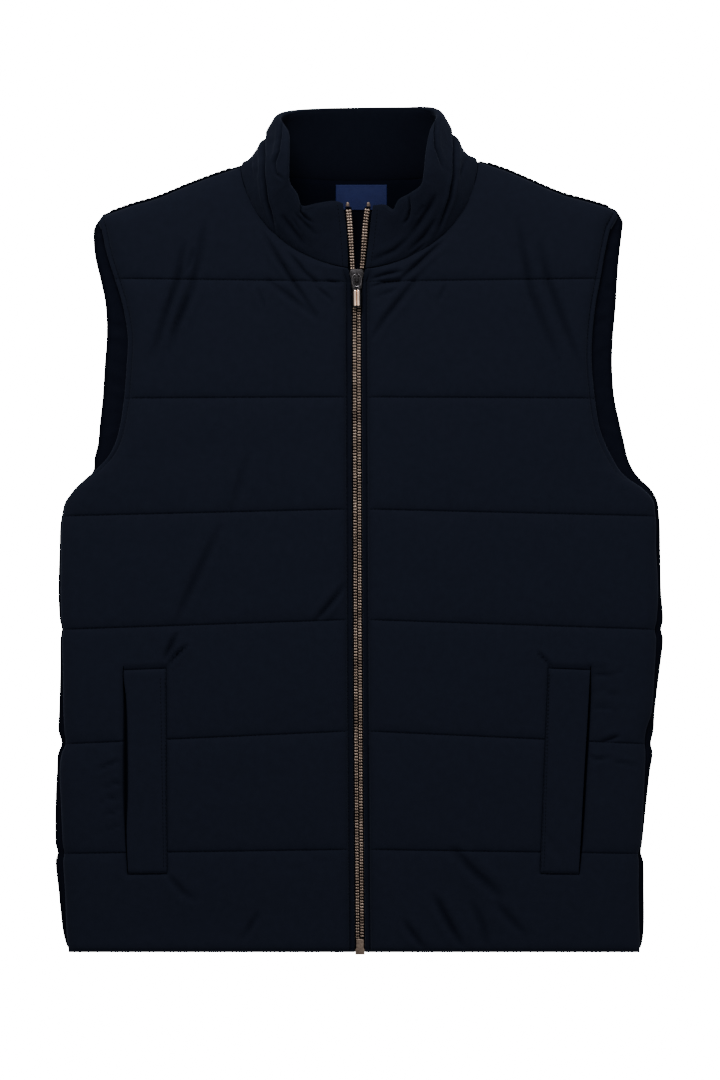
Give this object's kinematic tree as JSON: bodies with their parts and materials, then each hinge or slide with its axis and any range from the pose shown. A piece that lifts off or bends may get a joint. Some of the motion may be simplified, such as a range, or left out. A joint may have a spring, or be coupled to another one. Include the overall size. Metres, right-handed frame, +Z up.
{
  "type": "quilted vest",
  "caption": "Padded vest with cross quilting, stand collar, zip front and welt pockets, laid flat with its front up.",
  "frame": {"origin": "on the surface that the vest lies on, under the middle of its bounding box", "axes": "+X to the wearer's left, +Y from the hem to the collar, +Z up from the surface"},
  "size_m": [0.5649, 0.7868, 0.0521],
  "materials": {
    "shell_cloth": "matte peached microfibre",
    "lining_cloth": "plain matte woven lining",
    "zip_tape": "woven polyester tape",
    "zip_metal": "dull antique brass",
    "slider_metal": "dark gunmetal",
    "pull_metal": "polished rose gold",
    "label_cloth": "satin woven label"
  },
  "bodies": {
    "garment": {"back_panel": "lining_cloth", "front_right": "shell_cloth", "front_left": "shell_cloth", "shoulder_gather_right": "shell_cloth", "shoulder_gather_left": "shell_cloth", "collar": "shell_cloth", "pocket_welt_right": "shell_cloth", "pocket_welt_left": "shell_cloth", "zip_tape_right": "zip_tape", "zip_tape_left": "zip_tape", "zip_teeth_right": "zip_metal", "zip_teeth_left": "zip_metal", "zip_stop_right": "zip_metal", "zip_stop_left": "zip_metal", "zip_box": "zip_metal", "zip_slider": "slider_metal", "neck_label": "label_cloth"},
    "pull": {"pull_tab": "pull_metal"}
  },
  "joints": [
    {"name": "pull_hinge", "type": "hinge", "parent": "garment", "child": "pull", "pos_m": [-0.0025, 0.2334, 0.0178], "axis": [-1, 0, 0], "range_deg": [0, 165]}
  ]
}
